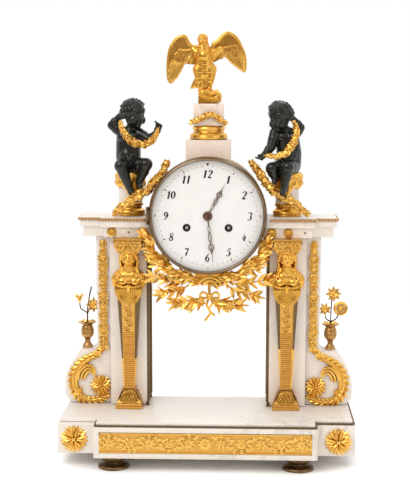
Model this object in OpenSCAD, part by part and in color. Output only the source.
// Portico clock in marble and gilt bronze with two seated putti and an eagle.
// Millimetres, +Z up, front faces -Y, the feet stand on z = 0.

/* [Plinth] */
// Width of the plinth
base_w = 400; // [390:1:420]
// Depth of the plinth across its middle section
base_d = 150; // [148:1:170]
// Width of each end beside the middle section that stands forward
end_w = 51; // [46:0.5:54]
// How far the middle section stands forward of the ends
break_d = 22; // [16:1:26]
// Height of the marble plinth block
block_h = 42.5; // [40:0.5:52]
// Thickness of the slab on the plinth block
slab_h = 6; // [4:0.5:10]
// Width of the ledge around the slab
ledge = 3.5; // [3:0.1:4.5]
// Width and height of the bead strip on the ledge
bead_w = 2.6; // [1.6:0.1:2.9]
// Bare marble between an end of the front plaque and the corner
plaque_margin = 8; // [6:0.5:20]
// Height of the front plaque
plaque_h = 27.6; // [22:0.2:32]
// Thickness of the front plaque
plaque_t = 2.5; // [2:0.1:4]
// Diameter of the large rosettes on the plinth ends
rosette_d = 41; // [34:0.5:42]
// Diameter of a foot at its floor ring
foot_d = 43; // [36:0.5:48]
// Height of a foot
foot_h = 18; // [14:0.5:24]
// Distance of a foot's middle from the side of the middle section
foot_in_x = 25; // [23:0.5:40]
// Distance of a foot's middle from the front and rear of the plinth
foot_in_y = 23; // [22:0.5:28]

/* [Portico] */
// Width of a marble pilaster
pilaster_w = 51; // [48:0.5:54]
// Depth of a marble pilaster
pilaster_d = 48; // [44:0.5:52]
// Height of a marble pilaster
pilaster_h = 238; // [234:1:246]
// Clear width between the two pilasters
pilaster_gap = 169; // [168:0.5:174]
// Distance from the rear edge of the slab to the backs of the uprights
rear_margin = 3.5; // [2:0.5:5]
// Width of the bead strip along a pilaster
strip_w = 3.6; // [2.5:0.1:4]
// Width of a side pier
pier_w = 20; // [17:0.5:22]
// How far a side pier stands behind the pilaster front
pier_setback = 10; // [6:0.5:13]
// Reach of a console beyond the pilaster
console_out = 62; // [58:0.5:63]
// Height of the console shoulder that carries an urn
shoulder_h = 76; // [72:0.5:82]
// Thickness of the scroll mount on a console
scroll_t = 4.5; // [3:0.1:6]
// Radius of the flower chute on a side pier
chute_r = 6.5; // [4.5:0.1:8]
// Height of an urn without its flowers
urn_h = 37; // [32:0.5:42]

/* [Entablature] */
// Height of the frieze
frieze_h = 14; // [12:0.5:18]
// Height of the cornice
cornice_h = 13; // [11:0.5:16]
// How far the frieze stands in front of the pilasters
frieze_over = 10; // [8:0.5:12]
// How far the cornice stands beyond the frieze
cornice_over = 4; // [3:0.5:6]
// How far the frieze runs beyond the side pier
frieze_side = 16.5; // [10:0.5:19]
// Height of the bead strip on the cornice
cornice_bead = 4; // [3:0.1:5]
// Diameter of the small rosettes on the frieze
frieze_rosette_d = 13; // [9:0.5:13.5]

/* [Drum] */
// Outer radius of the drum
drum_r = 78.5; // [77.5:0.1:79.2]
// Wall thickness of the drum
drum_wall = 2; // [1.5:0.1:2.5]
// Height of the drum centre above the cornice
drum_rise = 3.5; // [0:0.5:6]
// How far the drum stands in front of the frieze
drum_out = 8; // [7:0.5:9]
// Length of the drum from front to back
drum_len = 70; // [69.5:0.1:70.5]
// Outer radius of the bezel
bezel_r = 80; // [79.6:0.1:80.4]
// Width of the bezel ring seen from the front
bezel_w = 4.8; // [4.4:0.1:5.4]
// Depth of the bezel ring
bezel_t = 7.6; // [7:0.1:9]
// Height of the glass dome
glass_rise = 5; // [4:0.5:8]
// Thickness of the glass
glass_t = 1.6; // [1.2:0.1:2]
// Thickness of the enamel dial
dial_t = 2.2; // [1.8:0.1:2.4]
// Distance of a winding arbor from the centre line
wind_x = 28.5; // [28:0.1:29.5]
// Distance of a winding arbor below the dial centre
wind_z = 16; // [15:0.1:17]

/* [Hands] */
// Length of the minute hand
minute_len = 64.6; // [56:0.2:66]
// Length of the hour hand
hour_len = 49.8; // [38:0.2:52]
// Angle of the minute hand from twelve
minute_angle = 173.2; // [0:0.1:360]
// Angle of the hour hand from twelve
hour_angle = 28.4; // [0:0.1:360]

/* [Movement] */
// Radius of the movement plates
plate_r = 60; // [59:0.1:62]
// Thickness of a movement plate
plate_t = 3; // [2.5:0.1:3.4]
// Radius of a barrel
barrel_r = 21.5; // [18:0.1:22.5]
// Radius of the thin pivots
pivot_r = 1; // [0.8:0.05:1.2]
// Radius of the pendulum bob
bob_r = 21; // [17:0.5:23]
// Thickness of the pendulum bob
bob_t = 8; // [5:0.5:9]
// Length of the pendulum from its hook to the bob centre
pendulum_len = 127.6; // [126:0.1:130]
// Radius of the bell at its rim
bell_r = 30; // [27:0.2:30.5]

/* [Tower] */
// Width of the tower block
tower_w = 61; // [54:0.5:66]
// Depth of the tower block
tower_d = 50; // [46:0.5:54]
// Height of the tower block above the drum
tower_rise = 23.5; // [18:0.5:30]
// Height of the gilt tower ring
ring_h = 19; // [16:0.5:24]
// Width of the cap block
cap_w = 41; // [36:0.5:44]
// Depth of the cap block
cap_d = 36; // [32:0.5:40]
// Height of the cap block
cap_h = 30; // [28:0.5:36]
// Width of the eagle plinth
perch_w = 28; // [24:0.5:32]
// Height of the eagle plinth
perch_h = 18; // [14:0.5:22]
// Height of the eagle over its plinth
eagle_h = 78; // [70:0.5:84]

/* [Figures] */
// Distance of a putto stand from the centre line
stand_x = 109; // [108:0.5:110]
// Radius of a putto stand
stand_r = 20.2; // [19:0.2:21]
// Height of a putto stand
stand_h = 18; // [16:0.5:19]
// Radius of a stump seat
stump_r = 16.2; // [15:0.1:16.8]
// Height of a stump seat
stump_h = 42; // [41:0.5:43]
// Height of a seated putto over the deck
putto_h = 161; // [158:0.5:163]
// Height of a herm figure's bust and capital
bust_h = 68; // [66:0.5:68]
// Width of a herm plinth
herm_w = 37; // [32:0.5:40]

/* [Hidden] */
eps = 0.01;
// play between a curved seat and its piece
seat_gap = 0.3;
// play between a turning shaft and its hole
run_gap = 0.06;
// play of a loose part beside another
loose = 0.5;
break_w = base_w - 2 * end_w;
plaque_w = break_w - 2 * plaque_margin;
foot_span_x = break_w - 2 * foot_in_x;
foot_span_y = base_d - 2 * foot_in_y;
z_slab = foot_h + block_h;
z_floor = z_slab + slab_h;
z_ent = z_floor + pilaster_h;
z_cornice = z_ent + frieze_h;
z_deck = z_cornice + cornice_h;
z_drum = z_deck + drum_rise;
z_tower = z_drum + drum_r + tower_rise;
z_cap = z_tower + ring_h;
z_perch = z_cap + cap_h;
z_eagle = z_perch + perch_h;
y_end = break_d - base_d / 2;
y_back = base_d / 2 - ledge - rear_margin;
y_pil = y_back - pilaster_d;
y_pier = y_pil + pier_setback;
x_in = pilaster_gap / 2;
x_pil = x_in + pilaster_w;
x_herm = x_in + pilaster_w / 2 - 1.6;
x_pier = x_pil + pier_w;
x_urn = x_pil + 36;
y_frieze = y_pil - frieze_over;
y_tower = y_back - tower_d / 2 - 1;
drum_in = drum_r - drum_wall;
drum_front = y_frieze - drum_out;
drum_back = drum_front + drum_len;
seat_r = drum_r + seat_gap;
y_stand = y_frieze + 37;
x_putto = stand_x + 4;
y_putto = y_stand - 3;
herm_d = 24;

// movement depths
y_dial = drum_front;
y_fp = y_dial + 12;
y_fp2 = y_fp + plate_t;
plate_gap = 28 - plate_t;
y_bp = y_fp2 + plate_gap;
y_bp2 = y_bp + plate_t;
y_gw = y_fp2 + 2;
great_t = 2;
barrel_len = 12;
y_iw = y_gw + great_t + barrel_len + 1.3;
y_cw = y_iw + 2.7;
y_tw = y_cw + 2.5;
wheel_t = 1.4;
y_ew = y_gw + 11;
arbor_r = 1.7;
wind_r = 3;
wind_hole = 5.4;

// wheel counts and modules
great_n = 80;
great_m = 0.6;
ipin_n = 12;
iwheel_n = 72;
iwheel_m = 0.5;
cpin_n = 12;
cwheel_n = 72;
cwheel_m = 0.5;
tpin_n = 6;
twheel_n = 84;
twheel_m = 0.4;
epin_n = 6;
escape_n = 30;
escape_r = 11;
cannon_n = 12;
mwheel_n = 36;
motion_m = 0.7;
mpin_n = 10;
hwheel_n = 40;
motion_d = motion_m * (cannon_n + mwheel_n) / 2;
hour_m = 2 * motion_d / (mpin_n + hwheel_n);

// arbor places measured from the dial centre
p_c = [0, 0];
p_g = [wind_x, -wind_z];
p_s = [-wind_x, -wind_z];
p_i = meet(p_c, iwheel_m * (iwheel_n + cpin_n) / 2, p_g, great_m * (great_n + ipin_n) / 2);
third_d = cwheel_m * (cwheel_n + tpin_n) / 2;
p_t = [third_d * cos(125), third_d * sin(125)];
p_e = [0, p_t[1] + sqrt(pow(twheel_m * (twheel_n + epin_n) / 2, 2) - p_t[0] * p_t[0])];
p_a = [0, p_e[1] + 15.5];
p_m = [0, motion_d];
p_bell = [24, 4];
p_ham = [52, -24];
pillar_r = plate_r - 6;
pillar_angles = [30, 150, 250, 290];
flange_r = plate_r - 4;

// Places and curves

// point at distance a from p and b from q, on the left of the line p to q
function meet(p, a, q, b) =
    let (v = q - p, d = norm(v), u = v / d, k = (a * a - b * b + d * d) / (2 * d))
    p + k * u + sqrt(a * a - k * k) * [-u[1], u[0]];
function unit(v) = v / norm(v);
function bez2(a, b, c, n) = [for (i = [0:n]) let (t = i / n)
    (1 - t) * (1 - t) * a + 2 * t * (1 - t) * b + t * t * c];
// smooth path through a list of points, n steps between two of them
function smooth(p, n) = [for (i = [0:(len(p) - 1) * n]) let (
    k = min(floor(i / n), len(p) - 2), t = i / n - k,
    a = p[max(k - 1, 0)], b = p[k], c = p[k + 1], d = p[min(k + 2, len(p) - 1)])
    0.5 * (2 * b + t * (c - a) + t * t * (2 * a - 5 * b + 4 * c - d)
        + t * t * t * (3 * b - a - 3 * c + d))];
function lobes(r, n, dip, s = 6) = [for (i = [0:n * s - 1]) let (
    a = 360 * i / (n * s), q = r * (1 - dip * pow(cos(n * a / 2), 2))) [q * cos(a), q * sin(a)]];
// outline of a toothed wheel whose first tooth stands at angle a0
function teeth(n, r, tip, root, wide, top, a0) = [for (i = [0:n - 1]) let (
    p = 360 / n, a = a0 + i * p) for (q = [[root, -wide], [r + tip, -top], [r + tip, top],
    [root, wide]]) q[0] * [cos(a + q[1] * p), sin(a + q[1] * p)]];
function wheel_pts(n, m, a0) = teeth(n, n * m / 2, 0.8 * m, n * m / 2 - 1.15 * m, 0.25, 0.08, a0);
function pinion_pts(n, m, a0) = teeth(n, n * m / 2, 0.65 * m, n * m / 2 - 1.25 * m, 0.2, 0.09, a0);
// direction from p to q
function aim(p, q) = atan2(q[1] - p[1], q[0] - p[0]);

// flat shape drawn in x and z, from y0 back to y1
module flat_y(y0, y1) {
    translate([0, y1, 0])
        rotate([90, 0, 0])
            linear_extrude(y1 - y0)
                children();
}
// shape turned about a y axis, drawn as radius and y
module turn_y(x, z) {
    translate([x, 0, z])
        rotate([-90, 0, 0])
            rotate_extrude($fn = 96)
                children();
}
module rod_y(x, z, y0, y1, r) {
    translate([x, y0, z])
        rotate([-90, 0, 0])
            cylinder(r = r, h = y1 - y0, $fn = 48);
}
module rod_z(x, y, z0, z1, r) {
    translate([x, y, z0])
        cylinder(r = r, h = z1 - z0, $fn = 48);
}
module box(x0, x1, y0, y1, z0, z1) {
    translate([x0, y0, z0])
        cube([x1 - x0, y1 - y0, z1 - z0]);
}
module both_sides() {
    children();
    mirror([1, 0, 0])
        children();
}
module at_drum(p) {
    translate([p[0], 0, z_drum + p[1]])
        children();
}
module ball(p, r, n = 10) {
    translate(p)
        sphere(r = r, $fn = n);
}
module limb(a, ra, b, rb, n = 10) {
    hull() {
        ball(a, ra, n);
        ball(b, rb, n);
    }
}
// thin pointed leaf from p along v, w wide, lying across face direction f
module leaf(p, v, w, f = [0, 1, 0], t = 0.7) {
    side = unit(cross(v, f)) * w / 2;
    lift = unit(f) * t;
    m = p + 0.45 * v;
    polyhedron([p, m + side, p + v, m - side, m + lift, m - lift],
        [[0, 4, 1], [1, 4, 2], [2, 4, 3], [3, 4, 0], [1, 5, 0], [2, 5, 1], [3, 5, 2], [0, 5, 3]]);
}
// lumpy chain of flowers along a path with radius r at its middle
module garland(path, r, ends = 0.55) {
    n = len(path) - 1;
    for (i = [0:n - 1]) {
        k = 1 - (1 - ends) * pow(abs(2 * i / n - 1), 2);
        k2 = 1 - (1 - ends) * pow(abs(2 * (i + 1) / n - 1), 2);
        limb(path[i], r * k * (i % 2 == 0 ? 1 : 0.8),
            path[i + 1], r * k2 * (i % 2 == 0 ? 0.8 : 1), 6);
    }
}
module lobed_flower(r, n, t, y) {
    flat_y(y - t * 0.45, y)
        polygon(lobes(r, n, 0.16));
    flat_y(y - t * 0.75, y)
        rotate(180 / n)
            polygon(lobes(r * 0.68, n, 0.18));
    flat_y(y - t, y)
        circle(r = r * 0.28, $fn = 32);
}

// Plinth

module plan(inset) {
    translate([-base_w / 2 + inset, y_end + inset])
        square([base_w - 2 * inset, base_d - break_d - 2 * inset]);
    square([break_w - 2 * inset, base_d - 2 * inset], center = true);
}
module base_block() {
    color("WhiteSmoke")
        difference() {
            translate([0, 0, foot_h])
                linear_extrude(block_h)
                    plan(0);
            box(-plaque_w / 2 - loose, plaque_w / 2 + loose, -base_d / 2 - 1,
                -base_d / 2 + plaque_t, foot_h + (block_h - plaque_h) / 2 - loose,
                foot_h + (block_h + plaque_h) / 2 + loose);
            for (x = [-1, 1])
                for (y = [-1, 1])
                    rod_z(x * foot_span_x / 2, y * foot_span_y / 2, foot_h - 1, foot_h + 14, 3 + run_gap);
        }
}
module base_slab() {
    color("WhiteSmoke")
        translate([0, 0, z_slab])
            linear_extrude(slab_h)
                plan(ledge);
}
module base_beads() {
    color("Peru")
        translate([0, 0, z_slab])
            linear_extrude(bead_w)
                difference() {
                    plan(ledge - bead_w);
                    plan(ledge);
                }
}
module front_plaque() {
    z0 = foot_h + (block_h - plaque_h) / 2;
    y0 = -base_d / 2;
    border = 2.2;
    color("Goldenrod") {
        difference() {
            box(-plaque_w / 2, plaque_w / 2, y0, y0 + plaque_t, z0, z0 + plaque_h);
            box(-plaque_w / 2 + border, plaque_w / 2 - border, y0 - 1, y0 + 1.2,
                z0 + border, z0 + plaque_h - border);
        }
        for (i = [-5:5])
            translate([i * plaque_w / 11.6, 0, z0 + plaque_h / 2])
                flat_y(y0 + 0.4, y0 + 1.3)
                    polygon(lobes(plaque_h * (i % 2 == 0 ? 0.36 : 0.28), i % 2 == 0 ? 6 : 5, 0.45));
    }
}
module rosettes() {
    color("Goldenrod") {
        for (s = [-1, 1])
            translate([s * (base_w / 2 - end_w / 2 + 3), 0, foot_h + block_h / 2 - 1])
                lobed_flower(rosette_d / 2, 12, 7, y_end);
        for (x = [-x_herm - 23, x_herm - 21, x_herm + 1.5])
            translate([x, 0, z_ent + frieze_h / 2])
                lobed_flower(frieze_rosette_d / 2, 8, 4, y_frieze);
        for (x = [-x_herm, x_herm + 24])
            rod_y(x, z_ent + frieze_h / 2, y_frieze - 1.6, y_frieze, 1.4);
    }
}
module feet() {
    r = foot_d / 2;
    color("Peru")
        for (x = [-1, 1])
            for (y = [-1, 1])
                translate([x * foot_span_x / 2, y * foot_span_y / 2, 0])
                    rotate_extrude($fn = 64)
                        polygon([[0, 0], [r - 1, 0], [r, 1.2], [r, 3.4], [r - 1.5, 4.6],
                            [r * 0.72, 6.2], [r * 0.6, 8.2], [r * 0.62, 9.5], [r * 0.86, foot_h - 5.2],
                            [r * 0.92, foot_h - 3], [r * 0.86, foot_h], [3, foot_h], [3, foot_h + 12],
                            [0, foot_h + 12]]);
}

// Portico

module pilaster(s) {
    color("WhiteSmoke")
        box(min(s * x_in, s * x_pil), max(s * x_in, s * x_pil), y_pil, y_back, z_floor, z_ent);
}
module pilaster_left() {
    pilaster(-1);
}
module pilaster_right() {
    pilaster(1);
}
module pilaster_trim() {
    shoe_t = 2.4;
    shoe_h = 6;
    color("SaddleBrown")
        both_sides() {
            box(x_in - strip_w, x_in, y_pil, y_pil + strip_w, z_floor + shoe_h, z_ent - 0.5);
            box(x_in - strip_w, x_in, y_back - strip_w, y_back, z_floor + shoe_h, z_ent - 0.5);
            difference() {
                box(x_in - shoe_t - 2, x_pil, y_pil - shoe_t, y_back, z_floor, z_floor + shoe_h);
                box(x_in, x_pil + 1, y_pil, y_back + 1, z_floor - 1, z_floor + shoe_h + 1);
            }
        }
}
// slab tapered in z between two widths and depths, its back on y = 0
module taper(w0, d0, z0, w1, d1, z1) {
    hull() {
        translate([-w0 / 2, -d0, z0])
            cube([w0, d0, eps]);
        translate([-w1 / 2, -d1, z1 - eps])
            cube([w1, d1, eps]);
    }
}
// herm drawn with its back on y = 0 and its foot on z = 0
module herm() {
    f = 11;
    zb = pilaster_h - bust_h;
    taper(herm_w, herm_d, 0, herm_w, herm_d, 4);
    taper(herm_w - 2, herm_d - 1, 4 - eps, herm_w - 5, herm_d - 2.5, 7);
    taper(herm_w - 6, herm_d - 3, 7 - eps, 20, 16, 18);
    taper(20, 16, 18 - eps, 15, 13, 27);
    for (s = [-1, 1])
        limb([s * 8.5, -herm_d + 6, 7], 5, [s * 5, -14, 20], 4.4, 9);
    taper(14.6, 12, 26, 20.7, 13.5, 88);
    taper(20.7, 13.5, 88 - eps, 29, 16, zb - 19);
    taper(17.5, 14.5, 92, 24, 17, zb - 22);
    for (i = [0:3])
        taper(7 + i, 15.6 + i * 0.25, 36 + i * 13, 7.4 + i, 15.7 + i * 0.25, 39 + i * 13);
    for (i = [0:2])
        taper(12 + i * 2, 16.4 + i * 0.8, 96 + i * 17, 12.6 + i * 2, 16.5 + i * 0.8, 102 + i * 17);
    for (a = [-1, 0, 1])
        leaf([a * 11, -17.5, zb - 4], [-a * 5, 3, -17 - (a == 0 ? 2 : 0)], 13, [0, -1, 0], 2);
    taper(31, 17, zb - 19, 37, 19, zb - 4);
    taper(38.5, 20, zb - 5, 37, 19, zb);
    // bust
    limb([-9, -f, zb + 6], 9.5, [9, -f, zb + 6], 9.5, 8);
    limb([-16.5, -f + 2, zb + 11], 7, [16.5, -f + 2, zb + 11], 7, 8);
    limb([-17.5, -f + 2, zb + 11], 6.6, [-17, -f + 3, zb + 2], 6, 7);
    limb([17.5, -f + 2, zb + 11], 6.6, [17, -f + 3, zb + 2], 6, 7);
    limb([0, -f, zb + 15], 7, [0, -f - 1, zb + 30], 5.5, 8);
    for (s = [-1, 1])
        ball([s * 7, -f - 8, zb + 8], 5.6, 8);
    // head with ringlets
    limb([0, -f - 3, zb + 45], 9.6, [0, -f - 5, zb + 38.5], 7.6, 10);
    limb([0, -f + 1, zb + 48], 11, [0, -f + 2, zb + 40], 10, 8);
    limb([0, -f - 13.6, zb + 42.5], 1.2, [0, -f - 12.4, zb + 46], 0.8, 5);
    for (s = [-1, 1])
        for (i = [0:2])
            limb([s * (10.6 + i * 1.3), -f - 1 - i * 0.6, zb + 47 - i * 8.6], 3.9 - i * 0.3,
                [s * (12 + i * 1.3), -f - 1.6 - i * 0.6, zb + 41 - i * 8.6], 2.6 - i * 0.1, 6);
    for (i = [-3:3])
        ball([i * 3.4, -f - 8.5 + abs(i) * 1.2, zb + 53.5 - abs(i) * 0.9], 2.6, 6);
    // basket and abacus
    taper(24.5, 20.5, zb + 48, 28.5, 22, zb + 55);
    taper(28.5, 22, zb + 55 - eps, 37.5, 24.5, bust_h + zb - 4);
    for (i = [-2:2])
        leaf([i * 5.2, -20.5, zb + 53], [i * 2.2, -3, 10], 6.5, [0, -1, 0], 1.4);
    taper(39, 25, bust_h + zb - 4 - eps, 39, 25, bust_h + zb);
}
module herm_at(s) {
    color("Goldenrod")
        translate([s * x_herm, y_pil, z_floor])
            difference() {
                herm();
                translate([-40, 0, -1])
                    cube([80, 40, pilaster_h + 2]);
                translate([-40, -2.4, -1])
                    cube([80, 40, 7]);
            }
}
module herm_left() {
    herm_at(-1);
}
module herm_right() {
    herm_at(1);
}
function console_pts() = concat(
    [[0, 0], [console_out - 16, 0]],
    bez2([console_out - 13, 0.4], [console_out, 2], [console_out, 18], 5),
    bez2([console_out, 28], [console_out - 1, shoulder_h - 18], [console_out - 19, shoulder_h], 8),
    bez2([27, shoulder_h], [pier_w, shoulder_h + 3], [pier_w, shoulder_h + 15], 6),
    [[pier_w, pilaster_h], [0, pilaster_h]]);
module console() {
    color("WhiteSmoke")
        translate([x_pil, 0, z_floor])
            flat_y(y_pier, y_back)
                polygon(console_pts());
}
module console_left() {
    mirror([1, 0, 0])
        console();
}
module console_right() {
    console();
}
// leafy spiral band of a scroll mount
scroll_x = console_out * 0.4516;
scroll_z = shoulder_h * 0.4605;
scroll_r = shoulder_h * 0.3947;
function scroll_pts() = let (n = 40, k = scroll_r / 30) concat(
    [for (i = [0:n]) let (a = 78 - 320 * i / n, r = k * (30 - 12 * i / n + 2.2 * abs(sin(i * 27))))
        [scroll_x + r * cos(a), scroll_z + 1.06 * r * sin(a)]],
    [for (i = [n:-1:0]) let (a = 78 - 320 * i / n, r = k * (22 - 13.5 * i / n))
        [scroll_x + r * cos(a), scroll_z + 1.06 * r * sin(a)]]);
module scroll_mounts() {
    color("Goldenrod")
        both_sides()
            translate([x_pil, 0, z_floor]) {
                flat_y(y_pier - scroll_t, y_pier)
                    polygon(scroll_pts());
                translate([20, 0, 31])
                    lobed_flower(9, 6, scroll_t + 3, y_pier);
                translate([9, 0, 76])
                    flat_y(y_pier - scroll_t, y_pier)
                        rotate(-30)
                            polygon(lobes(9, 5, 0.35));
            }
}
module flower_chutes() {
    top = pilaster_h - 8;
    low = shoulder_h + 12;
    step = (top - low) / 9;
    color("Goldenrod")
        both_sides()
            translate([x_pil + pier_w / 2, y_pier, z_floor])
                difference() {
                    rotate_extrude($fn = 40)
                        polygon(concat([[0, low]], [for (i = [0:8]) for (q = [[1.6, 0.1],
                            [chute_r - abs(i - 4) * 0.35, 0.45], [chute_r * 0.8, 0.75], [2, 0.95]])
                            [q[0], low + (i + q[1]) * step]], [[0, top]]));
                    translate([-20, 0, 0])
                        cube([40, 20, pilaster_h]);
                }
}
module flower_urns() {
    y = y_pier + 19;
    k = urn_h / 37;
    stems = [[[0, 0, 0], [-5, -3, 40]], [[0, 0, 0], [6, -2, 36]], [[0, 0, 0], [1, 3, 30]]];
    color("DarkGoldenrod")
        both_sides()
            translate([x_urn, y, z_floor + shoulder_h]) {
                rotate_extrude($fn = 48)
                    polygon([for (q = [[0, 0], [7.6, 0], [7.6, 3], [5.6, 4.5], [2.6, 7.5], [2.9, 10],
                        [7.5, 14], [9.8, 19], [9.2, 24], [6.4, 29], [6.2, 31], [10.5, 35], [12.4, 36],
                        [12.4, 37], [0, 37]]) q * k]);
                translate([0, 0, urn_h - 1])
                    for (q = stems) {
                        d = q[1] - q[0];
                        rotate([0, acos(d[2] / norm(d)), atan2(d[1], d[0])]) {
                            cylinder(r = 1.1, h = norm(d), $fn = 8);
                            translate([0, 0, norm(d) - 4])
                                cylinder(r1 = 1.5, r2 = 8.5, h = 8, $fn = 9);
                        }
                    }
                translate([0, 0, urn_h - 1])
                    cylinder(r1 = 10, r2 = 5, h = 9, $fn = 11);
            }
}

// Entablature

module ent_plan(grow) {
    x_a = drum_r * 0.7;
    x_b = x_pil + 7 + grow;
    x_c = x_pier + frieze_side + grow;
    y_a = y_frieze - grow;
    y_b = y_pier - 8 - grow;
    translate([x_a, y_a])
        square([x_b - x_a, y_back - y_a]);
    translate([x_a, y_b])
        square([x_c - x_a, y_back - y_b]);
}
module drum_seat() {
    rod_y(0, z_drum, -200, 200, seat_r);
}
screw_y = [y_pil + 6, y_back - 12];
screw_z = z_cornice;
module entablature() {
    color("WhiteSmoke")
        difference() {
            union() {
                translate([0, 0, z_ent])
                    linear_extrude(frieze_h + eps)
                        ent_plan(0);
                translate([0, 0, z_cornice])
                    linear_extrude(cornice_h)
                        ent_plan(cornice_over);
            }
            drum_seat();
            for (y = screw_y)
                translate([drum_in - 4, y, screw_z])
                    rotate([0, 90, 0])
                        cylinder(r = 2 + run_gap, h = 22, $fn = 32);
        }
}
module entablature_left() {
    mirror([1, 0, 0])
        entablature();
}
module entablature_right() {
    entablature();
}
module cornice_beads() {
    color("Peru")
        both_sides()
            translate([0, 0, z_deck - cornice_bead])
                linear_extrude(cornice_bead)
                    difference() {
                        ent_plan(cornice_over + 2);
                        ent_plan(cornice_over);
                        translate([0, y_back - 150])
                            square([hinge_x + knuckle_r + loose, 300]);
                        translate([0, y_back])
                            square([300, 50]);
                    }
}

// Putti and garlands

module cherub_stands() {
    r = stand_r;
    n = stump_r + 1.4;
    k = stand_h / 18;
    color("Goldenrod")
        both_sides()
            translate([stand_x, y_stand, z_deck])
                rotate_extrude($fn = 64)
                    polygon([for (q = [[0, 0], [r - 0.8, 0], [r, 2], [r - 0.3, 5], [r - 1.8, 7.5],
                        [r - 2.6, 8.6], [n - 1.6, 10], [n - 2.2, 12], [n - 1, 13.6], [n, 14.6],
                        [n, 16.2], [n - 0.5, 17.4], [n - 1.2, 18], [0, 18]]) [q[0], q[1] * k]]);
}
module column_stumps() {
    color("WhiteSmoke")
        both_sides()
            rod_z(stand_x, y_stand, z_deck + stand_h, z_deck + stand_h + stump_h, stump_r);
}
// thickness of the cloth swag round a stump
swag_t = 4.6;
module stump_garlands() {
    color("Goldenrod")
        both_sides()
            translate([stand_x, y_stand, z_deck + stand_h + stump_h])
                rotate_extrude($fn = 48)
                    translate([stump_r + seat_gap, 0])
                        polygon([[0, -20], [2.4, -20], [swag_t - 0.3, -17.5], [swag_t, -13],
                            [swag_t - 1.2, -9.4], [swag_t - 0.4, -6], [swag_t - 0.9, -2], [2.4, -eps],
                            [0, -eps]]);
}
// seated child drawn with the middle of the stump foot at the origin
// j lists neck, head, chest, belly, hips, then two arms and two legs as point runs
module child(j, face) {
    limb(j[2], 15.5, j[3], 16, 10);
    limb(j[3], 16, j[4], 16.5, 10);
    limb(j[5][0], 7.4, j[6][0], 7.4, 8);
    limb(j[0], 7, j[1], 7, 8);
    limb(j[1], 15.5, j[1] + face * 4 + [0, 0, -6], 11.5, 12);
    ball(j[1] - face * 2 + [0, 0, 2.5], 16.6, 12);
    ball(j[1] + face * 14.5 + [0, 0, -5], 2.2, 8);
    for (a = [-45:45:225])
        ball(j[1] - face * 3 + [13.5 * cos(a), 0, 3 + 13.5 * sin(a)], 5, 6);
    for (k = [5, 6]) {
        limb(j[k][0], 7.4, j[k][1], 6.4, 8);
        limb(j[k][1], 6.4, j[k][2], 4.2, 8);
        ball(j[k][2], 4.6, 8);
    }
    for (k = [7, 8]) {
        limb(j[k][0], 11.4, j[k][1], 9, 9);
        limb(j[k][1], 9, j[k][2], 5.8, 9);
        limb(j[k][2], 5.4, j[k][3], 4.2, 7);
    }
}
// height at which the poses are drawn
pose_h = 161;
pose_left = [[8, -5, 122], [9, -8, 141.5], [2, -4, 106], [2, -2, 85], [1.5, 0, 71],
    [[-9, -2, 116], [-20.5, -2, 124.5], [-8.5, -5, 138]],
    [[17, -6, 114], [33, -15, 105], [44, -22, 117]],
    [[-4.5, -6, 69], [-6, -28, 70], [5, -26, 41], [8, -30, 34]],
    [[9, -6, 69], [28, -21, 72], [18.5, -21.5, 48], [20, -27, 42.5]]];
pose_right = [[-10.5, -5, 120], [-16, -9, 139], [-5, -4, 106], [-2.5, -2, 86], [-2, 0, 71],
    [[-22, -6, 115], [-27.5, -12, 95.5], [-37.5, -20, 85]],
    [[7, -2, 115], [12.5, -2, 122], [0.5, -5, 136]],
    [[-10, -6, 68], [-26, -21, 67], [-21.5, -20, 53], [-22.5, -24.5, 49.4]],
    [[2, -6, 68], [-5, -28, 69], [-9.5, -28.5, 42.5], [-11, -34, 36]]];
// height of the seat in the poses
pose_seat = 60;
seat_z = z_deck + stand_h + stump_h - pose_seat;
module cherub(s, j, face) {
    color("DarkSlateGray")
        difference() {
            translate([s * x_putto, y_putto, seat_z])
                scale(putto_h / pose_h)
                    child(j, unit(face));
            translate([s * stand_x, y_stand, seat_z - 1])
                cylinder(r = stump_r + swag_t + 4 * seat_gap, h = pose_seat + 1, $fn = 24);
        }
}
module cherub_left() {
    cherub(-1, pose_left, [0.45, -0.9, -0.05]);
}
module cherub_right() {
    cherub(1, pose_right, [-0.45, -0.85, -0.35]);
}
module hand_garlands() {
    color("Goldenrod") {
        translate([-x_putto, y_putto, seat_z])
            scale(putto_h / pose_h)
                garland(smooth([[-7, -21, 131.5], [-3, -26, 119], [4.5, -30, 107.5], [16, -32, 101],
                    [28, -32.5, 99.5], [38, -31.5, 106], [43.5, -28.6, 116]], 3), 5.4, 0.45);
        translate([x_putto, y_putto, seat_z])
            scale(putto_h / pose_h)
                garland(smooth([[2, -15, 131], [6, -25, 121], [5, -29, 110], [0.5, -31, 99],
                    [-7, -31.5, 89.6], [-19, -31.5, 84], [-35, -26.5, 84.8]], 3), 5.4, 0.45);
    }
}
module foot_garlands() {
    y = y_frieze;
    r = 6;
    left = [[-128.9, 4, 3], [-119.4, 13, 1], [-108.4, 21, 0], [-94, 30, 0], [-80.5, 39.5, 1],
        [-71.5, 50, 2], [-62.7, 61, 4], [-55.5, 77, 6]];
    right = [[138.1, 4, 3], [128.2, 11.5, 4], [119.9, 18, 7], [108.4, 25.5, 10.8], [97, 32, 9.6],
        [86, 40.5, 3], [77, 51, 3], [69, 62, 5], [57.9, 77, 6]];
    color("Goldenrod")
        for (path = [left, right])
            translate([0, y, z_deck])
                garland(smooth([for (q = path) [q[0], q[2], q[1]]], 2), r, 0.66);
}

// Laurel under the drum

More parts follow.
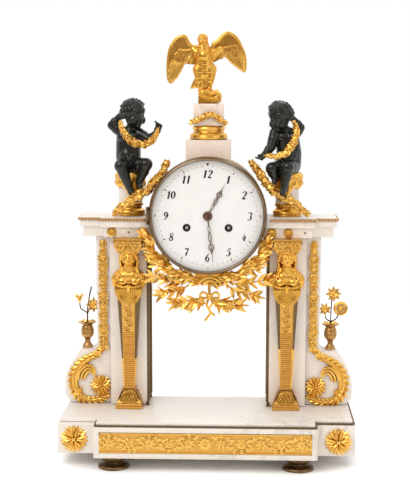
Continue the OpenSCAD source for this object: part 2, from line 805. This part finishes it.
module laurel_branch(s) {
    r = drum_r + 6;
    y = drum_front + 3;
    n = 7;
    turn = 10.4;
    spine = [for (i = [0:n]) let (a = 268 + s * i * turn) [r * cos(a), y, r * sin(a)]];
    for (i = [0:n - 1])
        limb(spine[i], 1.6, spine[i + 1], 1.5, 5);
    for (i = [1:n])
        for (k = [-1, 1]) {
            a = 268 + s * (i * turn + 90 + k * 38);
            leaf(spine[i], (k * s > 0 ? 11 : 14) * [cos(a), -0.12 * (k + 1), sin(a)]
                * (k == 1 ? 0.72 : 1), 6.6);
        }
    leaf(spine[n], 15 * unit(spine[n] - spine[n - 1]), 7);
    for (i = [2, 6])
        translate([0, y - 1.5, 0])
            rotate([0, -268 - s * i * turn, 0])
                translate([seat_r - 0.05, 0, -1.5])
                    cube([r - seat_r, 3, 3]);
}
module laurel_spray() {
    r = drum_r + 6;
    y = drum_front + 3;
    k = [2, y - 3, -r - 27];
    color("Goldenrod")
        translate([0, 0, z_drum]) {
            laurel_branch(-1);
            laurel_branch(1);
            limb([-2, y, -r], 2.4, k, 2.2, 7);
            ball(k, 4.6, 9);
            for (q = [[-80, -80], [-72, -112], [74, -112], [49, -130], [-26, -143], [20, -144]]) {
                mid = [q[0] * 0.55, y - 4, (q[1] + k[2]) / 2 - (abs(q[0]) > 60 ? 7 : 0)];
                tip = [q[0], y - 2, q[1]];
                limb(k, 1.4, mid, 1.2, 5);
                limb(mid, 1.2, tip + 0.3 * (mid - tip), 0.9, 5);
                for (t = [0.45, 0.8])
                    for (m = [-1, 1]) {
                        p = mid + (t - 0.3) * 1.3 * (tip - mid);
                        v = unit(tip - mid);
                        leaf(p, 12 * (v + m * 0.7 * unit(cross(v, [0, 1, 0]))), 5.6);
                    }
                leaf(tip + 0.3 * (mid - tip), 0.3 * (tip - mid) * 1.1, 6);
            }
        }
}

// Tower and eagle

rod_r = 2;
module tower_block() {
    color("WhiteSmoke")
        difference() {
            box(-tower_w / 2, tower_w / 2, y_tower - tower_d / 2, y_tower + tower_d / 2,
                z_drum + drum_r * 0.85, z_tower);
            drum_seat();
            rod_z(0, y_tower, z_drum, z_tower + 1, rod_r + seat_gap);
        }
}
module tower_ring() {
    k = ring_h / 19;
    hole = rod_r + seat_gap;
    color("Goldenrod")
        translate([0, y_tower, z_tower])
            rotate_extrude($fn = 72)
                polygon([for (q = [[hole, 0], [24, 0], [25.6, 1], [26, 3.5], [25.2, 6.5], [23.4, 8.6],
                    [21, 9.4], [20.4, 11], [21, 13], [22, 13.6], [22.8, 15.4], [22, 17.4], [20.6, 19],
                    [hole, 19]]) [q[0], q[1] * k]]);
}
module tower_cap() {
    color("WhiteSmoke")
        difference() {
            box(-cap_w / 2, cap_w / 2, y_tower - cap_d / 2, y_tower + cap_d / 2, z_cap, z_perch);
            rod_z(0, y_tower, z_cap - 1, z_perch + 1, rod_r + seat_gap);
        }
}
module tower_wreath() {
    r = 4.2;
    y = y_tower - cap_d / 2 - r - 0.25;
    color("Goldenrod")
        translate([0, y, z_cap])
            garland(smooth([[-cap_w / 2 - 4, 0, 4], [-13, 0, 9], [-2, 0, 14], [7, 0, 15],
                [15, 0, 10], [cap_w / 2 + 4, 0, 3]], 3), r, 0.8);
}
// wing outlines outward from the body, from the armpit round the quills to the shoulder
wing_left = [[7, 33], [22.7, 33.3], [31.4, 34.2], [36, 32.9], [37.7, 29.7], [39.4, 23.8], [42, 17.1],
    [45.4, 11.4], [49.1, 9.3], [51.5, 10], [54.2, 14.4], [55.1, 24.3], [54.9, 35.6], [53.6, 46.1],
    [51.5, 54.7], [47.7, 61.1], [43.1, 67], [37.3, 69.7], [33.3, 70.4], [30.6, 68.7], [28.7, 64.5],
    [25.4, 59.2], [20.7, 56.3], [15, 55.5], [5, 50]];
wing_right = [[7, 36], [14.6, 40.2], [19.3, 42.2], [23.2, 43.6], [26.5, 38.9], [31.2, 33.7],
    [36.5, 29.1], [43.1, 24.5], [46.3, 23.5], [48.1, 26.2], [48.8, 34.3], [48.3, 42], [46, 50.5],
    [42.7, 57.2], [40.3, 61.9], [36.3, 67.8], [31.8, 71.7], [25.8, 74.2], [21.1, 73], [16.5, 69],
    [11.8, 63.8], [6.6, 59.9], [4, 52]];
module wing(s) {
    left = s < 0;
    elbow = left ? [25, 2.4, 54] : [18, 2.4, 63];
    wrist = left ? [42, 2.6, 61] : [36, 2.6, 62];
    mirror([left ? 1 : 0, 0, 0]) {
        flat_y(1, 5)
            polygon(smooth(left ? wing_left : wing_right, 2));
        limb([6, 1.5, 46], 6, elbow, 4.4, 7);
        limb(elbow, 4.4, wrist, 3.4, 7);
        for (i = [0:2])
            limb([13 + i * 9, 1.5, 48 + i * 4], 3.4, [18 + i * 7, 2.2, 41 - i], 2.2, 5);
    }
}
module eagle() {
    k = eagle_h / 74.4;
    color("Goldenrod") {
        difference() {
            union() {
                translate([-perch_w / 2, y_tower - 14, z_perch])
                    cube([perch_w, 28, perch_h]);
                translate([0, y_tower, z_eagle - eps])
                    scale(k) {
                        for (s = [-1, 1]) {
                            limb([s * 5 - 4, -2, 2.4], 3, [s * 6 - 4.5, 0, 13], 4.6, 6);
                            limb([s * 7.5 - 5, -1, 13], 5.4, [s * 8 - 5.4, 0, 27], 8, 8);
                            for (a = [-30, 0, 30])
                                limb([s * 5 - 4, -2, 1.2], 1.7,
                                    [s * 5 - 4 + 6 * sin(a), -3 - 6 * cos(a), 0.9], 1.2, 5);
                            wing(s);
                        }
                        limb([-5, 0, 25], 11.5, [-5.6, 0, 43], 12.2, 10);
                        limb([-6, 0, 46], 10.2, [-7.4, -2, 62], 7.2, 9);
                        limb([-7.4, -2, 62], 7.2, [-7.8, -4, 66.2], 7.2, 9);
                        limb([-8.6, -9, 65.5], 3, [-9.6, -14, 60.5], 0.8, 7);
                        limb([-7, 4, 22], 7, [-17, 8, 6], 4.5, 7);
                        for (a = [-1, 0, 1])
                            limb([-12, 7, 11], 4, [-19 + a * 3.4, 9, 1], 1.6, 5);
                    }
            }
            rod_z(0, y_tower, z_perch - 1, z_eagle - 4, rod_r + seat_gap);
        }
    }
}
module tie_rod() {
    z0 = z_drum + drum_in - 7;
    color("Gray") {
        rod_z(0, y_tower, z0, z_eagle - 5, rod_r);
        translate([0, y_tower, z0 + 1])
            cylinder(r = 5, h = 4, $fn = 6);
    }
}

// Drum

hinge_x = bezel_r + 2.2;
hinge_y = drum_front - 3.4;
door_y = drum_back + 1.1;
knuckle_r = 1.8;
pin_r = 0.9;
module drum_case() {
    z = z_drum;
    color("Goldenrod")
        difference() {
            union() {
                turn_y(0, z)
                    polygon([[drum_in, drum_front], [drum_r, drum_front], [drum_r, drum_back],
                        [drum_in, drum_back], [drum_in, y_fp], [flange_r, y_fp], [flange_r, y_fp - 2.5],
                        [drum_in, y_fp - 2.5], [drum_in, drum_front + 5.2], [drum_in - 4, drum_front + 5.2],
                        [drum_in - 4, drum_front + dial_t + 0.3], [drum_in, drum_front + dial_t + 0.3]]);
                for (k = [-1, 1])
                    translate([-hinge_x, 0, z + k * 9]) {
                        box(-knuckle_r, hinge_x - drum_in - 0.6, drum_front + 0.2, drum_front + 2.8, -3, 3);
                        box(-knuckle_r, 1.2, hinge_y, drum_front + 2.8, -3, 3);
                        translate([0, hinge_y, -3])
                            cylinder(r = knuckle_r, h = 6, $fn = 32);
                        box(-knuckle_r, hinge_x - drum_in - 0.6, drum_back - 2.8, drum_back - 0.2, -3, 3);
                        box(-knuckle_r, 1.2, drum_back - 2.8, door_y, -3, 3);
                        translate([0, door_y, -3])
                            cylinder(r = knuckle_r, h = 6, $fn = 32);
                    }
            }
            for (y = [hinge_y, door_y])
                rod_z(-hinge_x, y, z - 20, z + 20, pin_r + run_gap);
            box(-bob_r - 12, bob_r + 12, y_bp2 + 0.5, drum_back + 1, z - drum_r - 2, z - drum_r * 0.6);
            rod_z(0, y_tower, z, z + 200, rod_r + seat_gap);
            for (s = [-1, 1])
                for (y = screw_y)
                    translate([s * drum_r, y, screw_z])
                        rotate([0, 90, 0])
                            cylinder(r = 2 + run_gap, h = 30, center = true, $fn = 32);
            for (a = [20, 160, 200, 340])
                rod_y((plate_r - 2) * cos(a), z + (plate_r - 2) * sin(a), y_fp - 4, y_fp + 1, 1.2 + run_gap);
        }
}
module drum_fasteners() {
    z = z_drum;
    inner = sqrt(drum_in * drum_in - pow(z_drum - screw_z + 4, 2));
    color("Gray") {
        for (s = [-1, 1])
            for (y = screw_y)
                translate([s * (inner - 2.4), y, screw_z])
                    rotate([0, s * 90, 0]) {
                        cylinder(r = 2, h = 16, $fn = 32);
                        cylinder(r = 3.6, h = 2, $fn = 32);
                    }
        for (y = [hinge_y, door_y])
            rod_z(-hinge_x, y, z - 12.5, z + 12.5, pin_r);
        for (a = [20, 160, 200, 340])
            translate([(plate_r - 2) * cos(a), 0, z + (plate_r - 2) * sin(a)]) {
                rod_y(0, 0, y_fp - 2.5 - 1.6, y_fp - 2.5, 2.2);
                rod_y(0, 0, y_fp - 3, y_fp2 - 0.5, 1.2);
            }
    }
}
module bezel() {
    y1 = drum_front - 0.4;
    y0 = y1 - bezel_t;
    r0 = bezel_r - bezel_w;
    color("SaddleBrown")
        difference() {
            union() {
                turn_y(0, z_drum)
                    polygon([[r0, y0 + 2], [r0 + 0.8, y0 + 0.5], [r0 + 2, y0], [r0 + 3, y0 + 0.5],
                        [bezel_r - 0.6, y0 + 3], [bezel_r, y0 + 4.4], [bezel_r, y1], [r0 + 0.8, y1],
                        [r0 + 0.8, y1 - 1.2], [r0 + 1.8, y1 - 1.2], [r0 + 1.8, y0 + 3.2], [r0, y0 + 3.2]]);
                translate([-hinge_x, 0, z_drum]) {
                    box(-0.5, 4.6, hinge_y - knuckle_r, y1 - 0.3, -5.6, 5.6);
                    translate([0, hinge_y, -5.6])
                        cylinder(r = knuckle_r, h = 11.2, $fn = 32);
                }
            }
            rod_z(-hinge_x, hinge_y, z_drum - 20, z_drum + 20, pin_r + run_gap);
            rod_y(0, z_drum, y0 + 1, y1 + 1, r0);
            rod_y(0, z_drum, y0 + 3.2, y1 - 1.2, r0 + 1.8);
        }
}
module bezel_glass() {
    y1 = drum_front - 0.4;
    y0 = y1 - bezel_t + 3.2;
    r = bezel_r - bezel_w + 1.6;
    n = 8;
    r1 = bezel_r - bezel_w - 0.4;
    color("LightCyan", 0.4)
        turn_y(0, z_drum)
            polygon(concat([[r, y0], [r, y0 + glass_t]],
                [for (i = [0:n]) let (t = 1 - i / n) [r1 * t, y0 + glass_t - glass_rise * (1 - t * t)]],
                [for (i = [0:n]) let (t = i / n) [r1 * t, y0 - glass_rise * (1 - t * t)]]));
}
module dial() {
    r = drum_in - 0.3;
    color("White")
        difference() {
            turn_y(0, z_drum)
                polygon([[0, y_dial - 1], [30, y_dial - 0.8], [56, y_dial - 0.3], [r - 0.4, y_dial + 0.6],
                    [r, y_dial + 1], [r, y_dial + dial_t], [0, y_dial + dial_t]]);
            rod_y(0, z_drum, y_dial - 9, y_dial + 9, 3.4);
            for (p = [p_g, p_s])
                rod_y(p[0], z_drum + p[1], y_dial - 9, y_dial + 9, wind_hole);
        }
}
module rear_door() {
    y0 = drum_back + 0.3;
    color("Goldenrod")
        difference() {
            union() {
                rod_y(0, z_drum, y0, y0 + 1.5, drum_r);
                for (q = [[4, drum_r - 6], [2.2, drum_r - 1]])
                    difference() {
                        rod_y(0, z_drum, y0 + 0.5, y0 + q[0] * 0.5 + 0.3, q[1]);
                        rod_y(0, z_drum, y0, y0 + 9, q[1] - 3);
                    }
                translate([-hinge_x, 0, z_drum]) {
                    box(0, 6, y0, y0 + 1.5, -5.6, 5.6);
                    translate([0, door_y, -5.6])
                        cylinder(r = knuckle_r, h = 11.2, $fn = 32);
                }
                rod_y(drum_r - 8, z_drum, y0 + 1, y0 + 2.7, 4);
            }
            rod_z(-hinge_x, door_y, z_drum - 20, z_drum + 20, pin_r + run_gap);
            for (i = [0:11])
                rod_y(34 * cos(i * 30), z_drum + 34 * sin(i * 30), y0 - 1, y0 + 9, 3);
        }
}

// Movement

module plate_disc(y, holes, big) {
    difference() {
        rod_y(0, z_drum, y, y + plate_t, plate_r);
        for (p = holes)
            rod_y(p[0], z_drum + p[1], y - 1, y + plate_t + 1, pivot_r + run_gap);
        for (p = big)
            rod_y(p[0], z_drum + p[1], y - 1, y + plate_t + 1, wind_r - 0.5 + run_gap);
        for (a = pillar_angles)
            rod_y(pillar_r * cos(a), z_drum + pillar_r * sin(a), y - 1, y + plate_t + 1, 1.5);
    }
}
module front_plate() {
    color("Gold") {
        difference() {
            plate_disc(y_fp, [p_i, p_t, p_e, p_a], [p_g, p_s]);
            rod_y(0, z_drum, y_fp - 1, y_fp2 + 1, arbor_r + run_gap);
            for (a = [20, 160, 200, 340])
                rod_y((plate_r - 2) * cos(a), z_drum + (plate_r - 2) * sin(a), y_fp - 1, y_fp2 + 1,
                    1.2 + run_gap);
        }
        at_drum(p_m)
            rod_y(0, 0, y_fp - 8.6, y_fp + 0.5, pivot_r);
    }
}
module back_plate() {
    color("Gold") {
        plate_disc(y_bp, [p_i, p_t, p_e, p_a, p_c], [p_g, p_s]);
        at_drum(p_bell) {
            rod_y(0, 0, y_bp2 - 0.5, y_bp2 + 18.6, 3.5);
            rod_y(0, 0, y_bp2 + 18, y_bp2 + 22.5, 2.4);
        }
        at_drum(p_ham)
            rod_y(0, 0, y_bp2 - 0.5, y_bp2 + 17, 1.6);
    }
}
module plate_pillars() {
    color("Gold")
        for (a = pillar_angles)
            at_drum([pillar_r * cos(a), pillar_r * sin(a)]) {
                turn_y(0, 0)
                    polygon([[0, y_fp2], [3.2, y_fp2], [3.2, y_fp2 + 3], [2.4, y_fp2 + 5],
                        [2.4, y_bp - 5], [3.2, y_bp - 3], [3.2, y_bp], [0, y_bp]]);
                rod_y(0, 0, y_fp2 - plate_t + 0.3, y_bp2 - 0.3, 1.4);
            }
}
module barrel(p, a0) {
    color("Gold")
        at_drum(p)
            difference() {
                union() {
                    flat_y(y_gw, y_gw + great_t)
                        polygon(wheel_pts(great_n, great_m, a0));
                    rod_y(0, 0, y_gw + great_t - eps, y_gw + great_t + barrel_len, barrel_r);
                }
                rod_y(0, 0, y_gw - 1, y_gw + 30, wind_r + run_gap);
            }
}
module going_barrel() {
    barrel(p_g, aim(p_g, p_i));
}
module strike_barrel() {
    barrel(p_s, 0);
}
module winder(p) {
    color("Gray")
        at_drum(p) {
            rod_y(0, 0, y_fp2 + 0.2, y_bp - 0.2, wind_r);
            rod_y(0, 0, y_fp - 3, y_bp2 + 1, wind_r - 0.5);
            flat_y(y_dial - 0.4, y_fp - 2.5)
                square(3.4, center = true);
        }
}
module going_winder() {
    winder(p_g);
}
module strike_winder() {
    winder(p_s);
}
// arbor between the plates, thin from y0 to y1 where its pinion is cut
module arbor(p, y0, y1, core) {
    at_drum(p) {
        rod_y(0, 0, y_fp2 + 0.2, y0 + eps, arbor_r);
        rod_y(0, 0, y0 - 0.1, y1 + 0.1, core);
        rod_y(0, 0, y1 - eps, y_bp - 0.2, arbor_r);
        rod_y(0, 0, y_fp + 0.2, y_fp2 + 1, pivot_r);
        rod_y(0, 0, y_bp - 0.5, y_bp2 - 0.2, pivot_r);
    }
}
module wheel_at(p, n, m, a0, y) {
    at_drum(p)
        flat_y(y, y + wheel_t)
            difference() {
                polygon(wheel_pts(n, m, a0));
                for (i = [0:4])
                    rotate(a0 + i * 72)
                        translate([n * m * 0.29, 0])
                            circle(r = n * m * 0.11, $fn = 8);
            }
}
module pinion_at(p, n, m, a0, y0, y1) {
    at_drum(p)
        flat_y(y0, y1)
            polygon(pinion_pts(n, m, a0));
}
// angle of a pinion that has a gap towards its wheel
function gap_aim(p, q, n) = aim(p, q) + 180 / n;
module intermediate_arbor() {
    color("Gold") {
        arbor(p_i, y_gw - 0.8, y_gw + great_t + 0.8, arbor_r);
        pinion_at(p_i, ipin_n, great_m, gap_aim(p_i, p_g, ipin_n), y_gw - 0.8, y_gw + great_t + 0.8);
        wheel_at(p_i, iwheel_n, iwheel_m, aim(p_i, p_c), y_iw);
    }
}
module centre_arbor() {
    color("Gold") {
        at_drum(p_c) {
            rod_y(0, 0, y_fp - 0.6, y_bp - 0.2, arbor_r);
            rod_y(0, 0, y_dial - 6.6, y_fp, pivot_r + 0.1);
            rod_y(0, 0, y_bp - 1, y_bp2 - 0.2, pivot_r);
        }
        pinion_at(p_c, cpin_n, iwheel_m, gap_aim(p_c, p_i, cpin_n), y_iw - 0.4, y_iw + wheel_t + 0.4);
        wheel_at(p_c, cwheel_n, cwheel_m, aim(p_c, p_t), y_cw);
    }
}
module third_arbor() {
    color("Gold") {
        arbor(p_t, y_cw - 0.4, y_cw + wheel_t + 0.4, tpin_n * cwheel_m / 2 - 1.3 * cwheel_m);
        pinion_at(p_t, tpin_n, cwheel_m, gap_aim(p_t, p_c, tpin_n), y_cw - 0.4, y_cw + wheel_t + 0.4);
        wheel_at(p_t, twheel_n, twheel_m, aim(p_t, p_e), y_tw);
    }
}
module escape_arbor() {
    p = 360 / escape_n;
    color("Gold") {
        arbor(p_e, y_tw - 0.4, y_tw + wheel_t + 0.4, epin_n * twheel_m / 2 - 1.3 * twheel_m);
        pinion_at(p_e, epin_n, twheel_m, gap_aim(p_e, p_t, epin_n), y_tw - 0.4, y_tw + wheel_t + 0.4);
        at_drum(p_e)
            flat_y(y_ew, y_ew + wheel_t)
                polygon([for (i = [0:escape_n - 1]) for (q = [[escape_r - 2.2, 0], [escape_r, 0.55],
                    [escape_r, 0.68], [escape_r - 2.2, 0.75]])
                    q[0] * [cos((i + q[1]) * p), sin((i + q[1]) * p)]]);
    }
}
crutch_y = y_bp2 + 1.2;
rod_y0 = y_bp2 + 5.2;
module pallet_arbor() {
    d = p_e[1] - p_a[1];
    c = 0.9;
    color("Gray") {
        arbor(p_a, y_ew, y_ew + wheel_t, arbor_r);
        at_drum(p_a) {
            flat_y(y_ew - 0.3, y_ew + wheel_t + 0.3)
                difference() {
                    polygon([[-2.2, 2.4], [2.2, 2.4], [11.5, -5], [11.5, -8.4], [9, -8.4], [6, -4.4],
                        [2.5, -2.6], [-2.5, -2.6], [-6, -4.4], [-9, -8.4], [-11.5, -8.4], [-11.5, -5]]);
                    translate([0, d])
                        circle(r = escape_r + c, $fn = 64);
                }
            rod_y(0, 0, y_bp2 - 0.5, crutch_y + 1.4, pivot_r);
            flat_y(crutch_y, crutch_y + 1.4) {
                circle(r = 3, $fn = 24);
                translate([-1, -30])
                    square([2, 29]);
                translate([-3.6, -34])
                    square([7.2, 4.5]);
            }
            for (s = [-1, 1])
                box(min(s * 2.2, s * 3.6), max(s * 2.2, s * 3.6), crutch_y + 1.2, rod_y0 + 2.4, -34, -29.5);
        }
    }
}
module pendulum() {
    color("Goldenrod")
        at_drum(p_a) {
            flat_y(rod_y0, rod_y0 + 1.2)
                difference() {
                    union() {
                        circle(r = 3, $fn = 32);
                        translate([-1.6, -pendulum_len])
                            square([3.2, pendulum_len - 1.5]);
                    }
                    circle(r = 1 + run_gap, $fn = 32);
                }
            turn_y(0, -pendulum_len)
                polygon([[0, rod_y0 + 0.6 - bob_t / 2], [bob_r * 0.5, rod_y0 + 0.6 - bob_t * 0.4],
                    [bob_r * 0.85, rod_y0 + 0.6 - bob_t * 0.2], [bob_r, rod_y0 - 0.1],
                    [bob_r, rod_y0 + 1.3], [bob_r * 0.85, rod_y0 + 0.6 + bob_t * 0.2],
                    [bob_r * 0.5, rod_y0 + 0.6 + bob_t * 0.4], [0, rod_y0 + 0.6 + bob_t / 2]]);
        }
}
module suspension_cock() {
    color("Gold")
        at_drum(p_a) {
            box(-6, 6, y_bp2, rod_y0 + 6, 6, 12);
            box(-4, 4, rod_y0 + 3, rod_y0 + 6, -4, 7);
            rod_y(0, 0, rod_y0 - 1, rod_y0 + 4, 1);
        }
}
module cannon_pinion() {
    bore = pivot_r + 0.1 + run_gap;
    color("Gold")
        difference() {
            union() {
                pinion_at(p_c, cannon_n, motion_m, gap_aim(p_c, p_m, cannon_n), y_fp - 4.4, y_fp - 1.2);
                rod_y(0, z_drum, y_dial - 5, y_fp - 1.2, 1.9);
            }
            rod_y(0, z_drum, y_dial - 9, y_fp + 9, bore);
        }
}
module minute_wheel() {
    color("Gold")
        difference() {
            union() {
                wheel_at(p_m, mwheel_n, motion_m, aim(p_m, p_c), y_fp - 3.6);
                pinion_at(p_m, mpin_n, hour_m, gap_aim(p_m, p_c, mpin_n), y_fp - 8, y_fp - 3.5);
            }
            rod_y(p_m[0], z_drum + p_m[1], y_fp - 20, y_fp + 9, pivot_r + run_gap);
        }
}
module hour_wheel() {
    color("Gold")
        difference() {
            union() {
                at_drum(p_c)
                    flat_y(y_fp - 7.2, y_fp - 5.8)
                        polygon(wheel_pts(hwheel_n, hour_m, aim(p_c, p_m)));
                rod_y(0, z_drum, y_dial - 2.6, y_fp - 5.8, 2.8);
            }
            rod_y(0, z_drum, y_dial - 9, y_fp + 9, 1.9 + run_gap);
        }
}
module hand(len, angle, y, bore, wide) {
    ring = len * 0.62;
    rr = wide * 1.15;
    at_drum([0, 0])
        flat_y(y - 0.8, y)
            rotate(-angle)
                difference() {
                    union() {
                        circle(r = bore + 2.6, $fn = 40);
                        polygon([[-0.7, -bore - 6], [0.7, -bore - 6], [1.6, 0], [1.5, len * 0.3],
                            [wide, len * 0.42], [1.2, ring - rr * 0.7], [1.2, ring + rr * 0.7],
                            [wide * 0.8, len * 0.84], [0.3, len], [-0.3, len], [-wide * 0.8, len * 0.84],
                            [-1.2, ring + rr * 0.7], [-1.2, ring - rr * 0.7], [-wide, len * 0.42],
                            [-1.5, len * 0.3], [-1.6, 0]]);
                        translate([0, ring])
                            circle(r = rr, $fn = 32);
                    }
                    circle(r = bore, $fn = 40);
                    translate([0, ring])
                        circle(r = rr * 0.55, $fn = 32);
                }
}
module minute_hand() {
    color("DarkSlateGray")
        hand(minute_len, minute_angle, y_dial - 3.7, 1.9, 3);
}
module hour_hand() {
    color("DarkSlateGray")
        hand(hour_len, hour_angle, y_dial - 1.6, 2.8, 3.6);
}
module bell() {
    y0 = y_bp2 + 9;
    t = 1.5;
    color("Silver")
        at_drum(p_bell)
            turn_y(0, 0)
                polygon([[bell_r, y0], [bell_r - t, y0], [bell_r - t - 1.5, y0 + 4],
                    [bell_r - 7, y0 + 7.6], [bell_r - 15, y0 + 9.6], [2.4 + run_gap, y0 + 9.6],
                    [2.4 + run_gap, y0 + 11.2], [bell_r - 15, y0 + 11.2], [bell_r - 6, y0 + 9],
                    [bell_r - 1.5, y0 + 5]]);
}
module hammer() {
    v = [p_bell[0] + bell_r + 5.5 - p_ham[0], p_bell[1] - p_ham[1]];
    y0 = y_bp2 + 9.5;
    color("Gray")
        at_drum(p_ham)
            difference() {
                union() {
                    rod_y(0, 0, y0, y0 + 5, 3.5);
                    rotate([0, atan2(v[0], v[1]), 0])
                        translate([-1.1, y0 + 1.5, 0])
                            cube([2.2, 2, norm(v)]);
                    rod_y(v[0], v[1], y0, y0 + 5, 4);
                }
                rod_y(0, 0, y0 - 1, y0 + 6, 1.6 + run_gap);
            }
}

base_block();
base_slab();
base_beads();
front_plaque();
rosettes();
feet();
pilaster_left();
pilaster_right();
pilaster_trim();
herm_left();
herm_right();
console_left();
console_right();
scroll_mounts();
flower_chutes();
flower_urns();
entablature_left();
entablature_right();
cornice_beads();
cherub_stands();
column_stumps();
stump_garlands();
cherub_left();
cherub_right();
hand_garlands();
foot_garlands();
laurel_spray();
tower_block();
tower_ring();
tower_cap();
tower_wreath();
eagle();
tie_rod();
drum_case();
drum_fasteners();
bezel();
bezel_glass();
dial();
rear_door();
front_plate();
back_plate();
plate_pillars();
going_barrel();
strike_barrel();
going_winder();
strike_winder();
intermediate_arbor();
centre_arbor();
third_arbor();
escape_arbor();
pallet_arbor();
pendulum();
suspension_cock();
cannon_pinion();
minute_wheel();
hour_wheel();
minute_hand();
hour_hand();
bell();
hammer();
